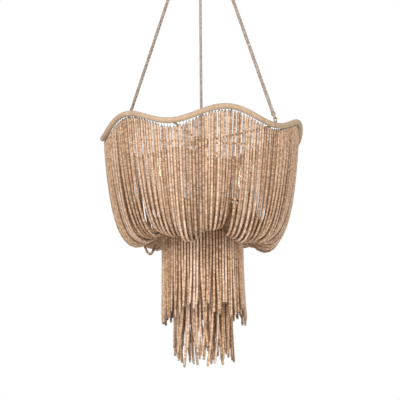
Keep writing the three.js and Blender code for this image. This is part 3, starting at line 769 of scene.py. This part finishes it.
# Candle bulbs on turned sleeves, on curved arms. Outlines are (radius, height) above their foot,
# and the bulb base's is in shares of its radius and of its length, from the top down
lamps = {"circle": 0.150, "count": 6, "first": math.radians(-25), "cupBottom": -0.984}
arm = {"radius": 0.004, "sag": 0.024, "gap": 0.0003, "steps": 24, "sides": 16}
cup = {"sides": 32, "outline": [
    (0.0, 0.0), (0.008, 0.0), (0.011, 0.0012), (0.0165, 0.0042), (0.0188, 0.0066),
    (0.0185, 0.0074), (0.0165, 0.0066), (0.0112, 0.0058)]}
sleeve = {"sides": 28, "outline": [
    (0.0109, 0.0058), (0.0109, 0.0335), (0.0104, 0.035), (0.0076, 0.035), (0.0076, 0.016),
    (0.0, 0.016)]}
bulb = {"bottom": -0.9487, "wall": 0.0007, "tipPower": 4, "sides": 28, "outline": [
    (0.0066, 0.0), (0.0084, 0.004), (0.0126, 0.010), (0.0158, 0.019), (0.0172, 0.029),
    (0.0168, 0.040), (0.0148, 0.051), (0.0112, 0.062), (0.0066, 0.072), (0.0032, 0.079),
    (0.0012, 0.0832), (0.0, 0.084)]}
bulbBase = {"radius": 0.0064, "length": 0.020, "sides": 24,
            "outline": [(0, 1), (0.5, 1), (1, 0.9), (1, 0), (0, 0)]}
filament = {"wire": 0.00035, "count": 5, "circle": 0.0034, "footShare": 0.6, "twist": 0.5,
            "low": 0.020, "high": 0.050, "sides": 8}


def bezier(points, count):
    a, b, c, d = points
    path = []
    for k in range(count + 1):
        t = k / count
        u = 1 - t
        path.append(a * u ** 3 + b * 3 * u * u * t + c * 3 * u * t * t + d * t ** 3)
    return path


def makeArm(number, angle):
    end = lamps["cupBottom"] - arm["gap"]
    path = bezier([
        polar(armHub["radius"] + arm["gap"], angle, armHub["middle"]),
        polar((armHub["radius"] + lamps["circle"]) / 2, angle, armHub["middle"]),
        polar(lamps["circle"], angle, end - arm["sag"]),
        polar(lamps["circle"], angle, end)], arm["steps"])
    tube = tubeAlong(path, arm["radius"], arm["sides"])
    settleBrass(tube, f"curved_arm_{number}", f"lamp_arm_{number}")


def makeHolder(number, angle):
    foot = polar(lamps["circle"], angle, lamps["cupBottom"])
    settleBrass(turnedPiece(cup["outline"], cup["sides"], foot), f"lamp_cup_{number}")
    settle(turnedPiece(sleeve["outline"], sleeve["sides"], foot), f"lamp_sleeve_{number}",
           "sleeve", [f"lamp_holder_{number}"])


def makeBulb(number, angle):
    foot = polar(lamps["circle"], angle, bulb["bottom"])
    body = f"lamp_bulb_{number}"
    wall, top = bulb["wall"], bulb["outline"][-1][1]
    inner = [(max(r - wall, 0.0), z - wall * (z / top) ** bulb["tipPower"])
             for r, z in reversed(bulb["outline"])]
    glass = turnedPiece(bulb["outline"] + inner, bulb["sides"], foot, closed=True)
    settle(glass, f"candle_bulb_{number}", "glass", [f"bulb_{number}"], "glass",
           body)
    outline = [(bulbBase["radius"] * r, -bulbBase["length"] * z) for r, z in bulbBase["outline"]]
    settle(turnedPiece(outline, bulbBase["sides"], foot), f"bulb_base_{number}", "brass",
           body=body)
    wires = []
    for k in range(filament["count"]):
        turn = fullTurn * k / filament["count"]
        low = polar(filament["circle"] * filament["footShare"], turn, filament["low"])
        high = polar(filament["circle"], turn + filament["twist"], filament["high"])
        wires.append(tubeAlong([foot + low, foot + high], filament["wire"], filament["sides"]))
    settle(joinAll(wires), f"filament_{number}", "filament", body=body)


for k in range(lamps["count"]):
    lampAngle = lamps["first"] + fullTurn * k / lamps["count"]
    makeArm(k + 1, lampAngle)
    makeHolder(k + 1, lampAngle)
    makeBulb(k + 1, lampAngle)
print("lamps made")

# Bead strings: beads of one shape repeated along a path. rosyPower keeps most strings warm rather
# than rosy, and search is for the curve in which a string of a given length hangs
bead = {"radius": 0.004, "pitch": 0.0035, "sides": 6, "waistShare": 0.78, "faceShare": 0.5,
        "rosyPower": 1.6, "merge": 1e-5}
search = {"rounds": 50, "tightest": 0.025, "flattest": 10, "leastSlack": 1.0001, "limit": 300}


def makeBead():
    deselectAll()
    bpy.ops.mesh.primitive_cylinder_add(
        vertices=bead["sides"], radius=bead["radius"], depth=bead["pitch"] * bead["faceShare"],
        end_fill_type="NOTHING", rotation=(0, math.pi / 2, 0), location=(bead["pitch"] / 2, 0, 0))
    piece = bpy.context.object
    bpy.ops.object.transform_apply(location=True, rotation=True, scale=True)
    half = bead["pitch"] * (1 - bead["faceShare"]) / 2
    for side in (-1, 1):
        setMode("EDIT")
        bpy.ops.mesh.select_all(action="DESELECT")
        setMode("OBJECT")
        rim = bead["pitch"] / 2 + side * bead["pitch"] * bead["faceShare"] / 2
        points = piece.data.vertices
        for edge in piece.data.edges:
            edge.select = all(abs(points[v].co.x - rim) < tiny for v in edge.vertices)
        setMode("EDIT")
        bpy.ops.mesh.select_mode(type="EDGE")
        bpy.ops.mesh.extrude_edges_move(TRANSFORM_OT_translate={"value": (side * half, 0, 0)})
        bpy.ops.transform.resize(value=(1, bead["waistShare"], bead["waistShare"]),
                                 center_override=(0, 0, 0))
        setMode("OBJECT")
    return piece


# The curve of a hanging string, as (radius, height) from its outer end to its inner one
def catenary(inner, outer, length, steps):
    span, rise = outer[0] - inner[0], outer[1] - inner[1]
    target = math.sqrt(max(length * length - rise * rise, (search["leastSlack"] * span) ** 2))
    low, high = span * search["tightest"], span * search["flattest"]
    for _ in range(search["rounds"]):
        middle = (low + high) / 2
        if 2 * middle * math.sinh(min(span / 2 / middle, search["limit"])) > target:
            low = middle
        else:
            high = middle
    a = (low + high) / 2
    lowestR = (inner[0] + outer[0]) / 2 - a * math.atanh(rise / length)
    start, end = math.sinh((outer[0] - lowestR) / a), math.sinh((inner[0] - lowestR) / a)
    lowestZ = inner[1] - a * (math.cosh((inner[0] - lowestR) / a) - 1)
    points = []
    for k in range(steps + 1):
        u = math.asinh(start + (end - start) * k / steps)
        points.append((lowestR + a * u, lowestZ + a * (math.cosh(u) - 1)))
    return points


def addLayer(piece, name, values):
    piece.data.attributes.new(name, "FLOAT", "POINT").data.foreach_set("value", values)


# A straight string of beads on the X axis
def stringOfBeads(template, count):
    piece = copyTo(template, Matrix.Identity(4))
    activate(piece)
    array = piece.modifiers.new("beads", "ARRAY")
    array.count = count
    array.use_relative_offset = False
    array.use_constant_offset = True
    array.constant_offset_displace = (bead["pitch"], 0, 0)
    array.use_merge_vertices = True
    array.merge_threshold = bead["merge"]
    bpy.ops.object.modifier_apply(modifier="beads")
    return piece


def bendAlong(piece, points):
    path = pathCurve(points)
    path.twist_mode = "MINIMUM"
    guide = addToScene("string path", path)
    bend = piece.modifiers.new("hang", "CURVE")
    bend.object = guide
    bend.deform_axis = "POS_X"
    bpy.ops.object.modifier_apply(modifier="hang")
    bpy.data.objects.remove(guide)
    bpy.data.curves.remove(path)


# Repeats the bead along a path; side tells how far a point lies off the path, round the Z axis, and
# masks the painted shade between neighbouring strings
def stringAlong(template, points, chance):
    reach = [0.0]
    for a, b in zip(points, points[1:]):
        reach.append(reach[-1] + (b - a).length)
    count = max(2, round(reach[-1] / bead["pitch"]))
    piece = stringOfBeads(template, count)
    tints = [chance.random() for _ in range(count + 2)]
    along = [v.co.x for v in piece.data.vertices]
    total = len(along)
    addLayer(piece, "beadTint", [tints[int((x + bead["merge"]) / bead["pitch"])] for x in along])
    addLayer(piece, "stringTint", [chance.random()] * total)
    addLayer(piece, "stringHue", [chance.random() ** bead["rosyPower"]] * total)
    bendAlong(piece, points)
    spans = len(points) - 1
    sides = []
    for vertex, x in zip(piece.data.vertices, along):
        k = max(0, min(spans - 1, int(x / reach[-1] * spans)))
        axis = points[k].lerp(points[k + 1], (x - reach[k]) / (reach[k + 1] - reach[k]))
        away = vertex.co - axis
        offset = (away.y * axis.x - away.x * axis.y) / math.hypot(axis.x, axis.y)
        sides.append(min(1.0, abs(offset) / bead["radius"]))
    # side masks the painted shade at the string's flanks
    addLayer(piece, "side", sides)
    return piece


# The curtain strings hang from the ring's inner flank and are drawn together in folds where they
# meet the hoop. Angles are in degrees from the front towards the right-hand side. A fold runs
# between two of them, and its strings are longer than the plain ones by the slack after them.
# Neighbours lean together in clumps, mostly on the left-hand side.
curtains = {"panels": 6, "perPanel": 34, "seed": 5, "outerLength": 0.475, "innerLength": 0.461,
            "outerDrop": 0.240, "innerDrop": 0.225, "hook": 0.0055, "hookSpread": 0.004,
            "flankRadius": 0.2896, "flankDrop": 0.0046, "footRadius": 0.1193, "steps": 26,
            "angleJitter": 0.13, "lengthJitter": 0.004, "swayJitter": 0.5, "pull": 0.42,
            "pullPower": 3.0, "nest": 0.008, "bulge": 0.005, "bulgePower": 0.63,
            "clumpSizes": [2, 3, 3, 4, 5], "clump": 0.26, "rightClump": 0.2, "clumpDepth": 0.003,
            "clumpLength": 0.006, "frontClumpLength": 0.4}
folds = [
    (-180, -158, -0.004), (-158, -136, -0.026), (-136, -112, -0.022), (-112, -90, -0.014),
    (-90, -66, -0.010), (-66, -43, -0.011), (-43, -18, -0.034), (-18, 1, -0.01), (1, 19, -0.04),
    (19, 52, -0.01), (52, 74, 0.0), (74, 96, 0.006), (96, 116, 0.0), (116, 140, -0.002),
    (140, 162, -0.012), (162, 180, -0.002)]
# round this angle the hooks are longer, which opens the gap under the ring
wideGap = {"angle": -16.0, "width": 9.0, "extra": 0.007}
# strings that hang slack near the hoop, as (angle, extra length, sag); the sag starts at looseFrom
looseStrings = [(-84.0, 0.0, 0.062), (-57.0, 0.01, 0.0)]
looseFrom = 0.68
looseSteps = 3  # times the steps of a plain string


def foldAt(degrees):
    for start, end, slack in folds:
        if start <= degrees < end:
            return (start + end) / 2, (end - start) / 2, slack


# Extra length and sag of each loose string, by the string's number
def numberLoose(total):
    loose = {}
    for degrees, extra, sag in looseStrings:
        turned = (math.radians(degrees - 90) - ring["firstTrough"]) % fullTurn
        loose[int(turned / (fullTurn / total)) % total] = extra, sag
    return loose


def makeCurtains(template):
    chance = random.Random(curtains["seed"])
    total = curtains["panels"] * curtains["perPanel"]
    pitch = fullTurn / total
    loose = numberLoose(total)
    tops = []
    for panel in range(curtains["panels"]):
        strings = []
        clumpEnd, clumpMiddle, clumpLength = 0, 0.0, 0.0
        for k in range(curtains["perPanel"]):
            number = panel * curtains["perPanel"] + k
            layer = "inner" if number % 2 else "outer"
            if k >= clumpEnd:
                size = chance.choice(curtains["clumpSizes"])
                clumpMiddle, clumpEnd = k + (size - 1) / 2, k + size
                clumpLength = chance.uniform(-1, 1) * curtains["clumpLength"]
            jitter = chance.uniform(-1, 1) * curtains["angleJitter"]
            angle = ring["firstTrough"] + (number + 0.5 + jitter) * pitch
            atSide = math.cos(angle) ** 2  # 1 at the two sides, 0 at the front and the back
            front = (math.degrees(angle) + 90 + 180) % 360 - 180
            middle, half, slack = foldAt(front)
            off = (front - middle) / half
            hang = curtains["hook"] + chance.uniform(0, curtains["hookSpread"])
            near = (front - wideGap["angle"]) / wideGap["width"]
            hang += wideGap["extra"] * math.exp(-near ** 2)
            extra, sag = loose.get(number, (0.0, 0.0))
            length = curtains[layer + "Length"] - hang + curtains["hook"] + slack + extra
            length -= curtains["nest"] * off * off
            length += chance.uniform(-1, 1) * curtains["lengthJitter"]
            atFront = curtains["frontClumpLength"]
            length += clumpLength * (atFront + (1 - atFront) * atSide)
            outer = curtains["flankRadius"], ringHeight(angle) - curtains["flankDrop"] - hang
            inner = (curtains["footRadius"] + bead["radius"],
                     ring["level"] - curtains[layer + "Drop"] - bead["radius"])
            sway = math.radians(middle - front) * curtains["pull"]
            sway += chance.uniform(-1, 1) * curtains["swayJitter"] * pitch
            join = (clumpMiddle - k) * pitch * curtains["clump"] * atSide
            join *= curtains["rightClump"] if front > 0 else 1.0
            steps = curtains["steps"] * (looseSteps if sag else 1)
            points = []
            for index, (r, z) in enumerate(catenary(inner, outer, length, steps)):
                share = (outer[0] - r) / (outer[0] - inner[0])
                bell = math.sin(math.pi * index / steps)
                bulge = math.sin(math.pi * max(0.0, share) ** curtains["bulgePower"])
                r += curtains["bulge"] * atSide * bulge - curtains["clumpDepth"] * bell * (k % 2)
                slackShare = max(0.0, share - looseFrom) / (1 - looseFrom)
                z -= sag * math.sin(math.pi * slackShare)
                drawn = sway * share ** curtains["pullPower"]
                points.append(polar(r, angle + join * bell + drawn, z))
            strings.append(stringAlong(template, points, chance))
            tops.append((points[0], hang))
        settle(joinAll(strings), f"bead_strings_{panel + 1}", "beads",
               [f"bead_curtain_{panel + 1}"], "beads")
    return tops


# Straight strings in rows of (radius, count, shortening). frontRise shortens the front ones, and
# splay is how far the ends stand out on the right-hand side
upperFringe = {"name": "upper_fringe", "rows": [(0.1175, 80, 0.0), (0.108, 52, 0.014)],
               "seed": 21, "top": -1.0433, "hook": 0.0096, "length": 0.314, "ragged": 0.04,
               "frontRise": 0.04, "lean": 0.006, "splay": 0.007, "group": 0.16, "curl": 0.001}
lowerFringe = {"name": "lower_fringe", "rows": [(0.0815, 54, 0.0), (0.069, 26, 0.015)],
               "seed": 22, "top": -1.0476, "hook": 0.0096, "length": 0.419, "ragged": 0.07,
               "frontRise": 0.0, "lean": 0.02, "splay": 0.003, "group": 0.5, "curl": 0.0028}
fringes = {"steps": 14, "groupSizes": [2, 3, 3, 4], "groupPower": 2.4, "leanPower": 4,
           "outPower": 3, "outShare": 0.3, "inward": -0.3, "curlAngle": 9, "curlStart": 6}


def makeFringe(template, fringe):
    chance = random.Random(fringe["seed"])
    tops, tips = [], []
    halves = [[], []]
    for radius, count, shorter in fringe["rows"]:
        groupEnd, groupMiddle = 0, 0.0
        step = fullTurn / count
        for k in range(count):
            if k >= groupEnd:
                size = chance.choice(fringes["groupSizes"])
                groupMiddle, groupEnd = k + (size - 1) / 2, k + size
            angle = step * (k + 0.5)
            join = (groupMiddle - k) * step * fringe["group"] * radius
            toFront = (1 - math.sin(angle)) / 2
            high = fringe["top"] - fringe["hook"]
            low = high - fringe["length"] + shorter + fringe["ragged"] * chance.random()
            low += fringe["frontRise"] * toFront ** 2
            drift = chance.uniform(-1, 1) * fringe["lean"]
            out = chance.uniform(fringes["inward"], 1) * fringes["outShare"] * fringe["lean"]
            out += fringe["splay"] * max(0.0, math.cos(angle)) ** 2
            curl = chance.uniform(-1, 1) * fringe["curl"]
            phase = chance.uniform(0, fringes["curlStart"])
            points = []
            for index in range(fringes["steps"] + 1):
                share = index / fringes["steps"]
                side = drift * share ** fringes["leanPower"] + join * share ** fringes["groupPower"]
                side += curl * share * math.sin(share * fringes["curlAngle"] + phase)
                points.append(polar(radius + out * share ** fringes["outPower"],
                                    angle + side / radius, high + (low - high) * share))
            halves[0 if k < count / 2 else 1].append(stringAlong(template, points, chance))
            tops.append((points[0], fringe["hook"]))
            tips.append((points[-1], (points[-1] - points[-2]).normalized()))
    for part, strings in enumerate(halves):
        settle(joinAll(strings), f"{fringe['name']}_strings_{part + 1}", "beads",
               [f"{fringe['name']}_{part + 1}"], "beads")
    return tops, tips


template = makeBead()
stringTops = makeCurtains(template)
print("curtains made")
upperTops, upperTips = makeFringe(template, upperFringe)
lowerTops, lowerTips = makeFringe(template, lowerFringe)
bpy.data.objects.remove(template)
print("fringes made")

# Grey hooks and crimps between the ring or a hoop and the strings, and tips at the fringes' ends.
# sink is how far a crimp or a tip reaches over its string
hooks = {"wire": 0.0005, "wireSides": 6, "crimpRadius": 0.0024, "crimpLength": 0.0046,
         "tipRadius": 0.003, "tipLength": 0.0028, "tipTaper": 0.8, "sink": 0.001, "sides": 8}


# The wire is modelled one metre long, and each copy is scaled to its hook
def makeHooks(name, places):
    low = -hooks["sink"]
    crimp = turnedPiece(rod(hooks["crimpRadius"], low, low + hooks["crimpLength"]), hooks["sides"])
    wire = turnedPiece(rod(hooks["wire"], 0, 1), hooks["wireSides"])
    made = []
    for place, length in places:
        at = Matrix.Translation(place)
        made.append(copyTo(crimp, at))
        made.append(copyTo(wire, at @ Matrix.Diagonal((1, 1, length + hooks["sink"], 1))))
    bpy.data.objects.remove(crimp)
    bpy.data.objects.remove(wire)
    settle(joinAll(made), name, "wire")


def makeTips(places):
    radius, low, high = hooks["tipRadius"], -hooks["sink"], hooks["tipLength"]
    tip = turnedPiece([(0, low), (radius, low), (radius * hooks["tipTaper"], high), (0, high)],
                      hooks["sides"])
    made = [copyTo(tip, Matrix.Translation(place) @ turnTo(along)) for place, along in places]
    bpy.data.objects.remove(tip)
    settle(joinAll(made), "string_tips", "crimp")


makeHooks("string_hooks", stringTops)
makeHooks("fringe_hooks", upperTops + lowerTops)
makeTips(upperTips + lowerTips)
print("hooks made")

# CAD nodes that stay get their finish
for node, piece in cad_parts.items():
    if not piece.hide_render:
        kind = {"ceiling_crossbar": "steel", "terminal_block": "terminal"}.get(node, "brass")
        piece.data.materials.clear()
        piece.data.materials.append(finishes[kind])
        print("CAD node shown:", node)

bpy.context.scene.view_settings.view_transform = "Standard"
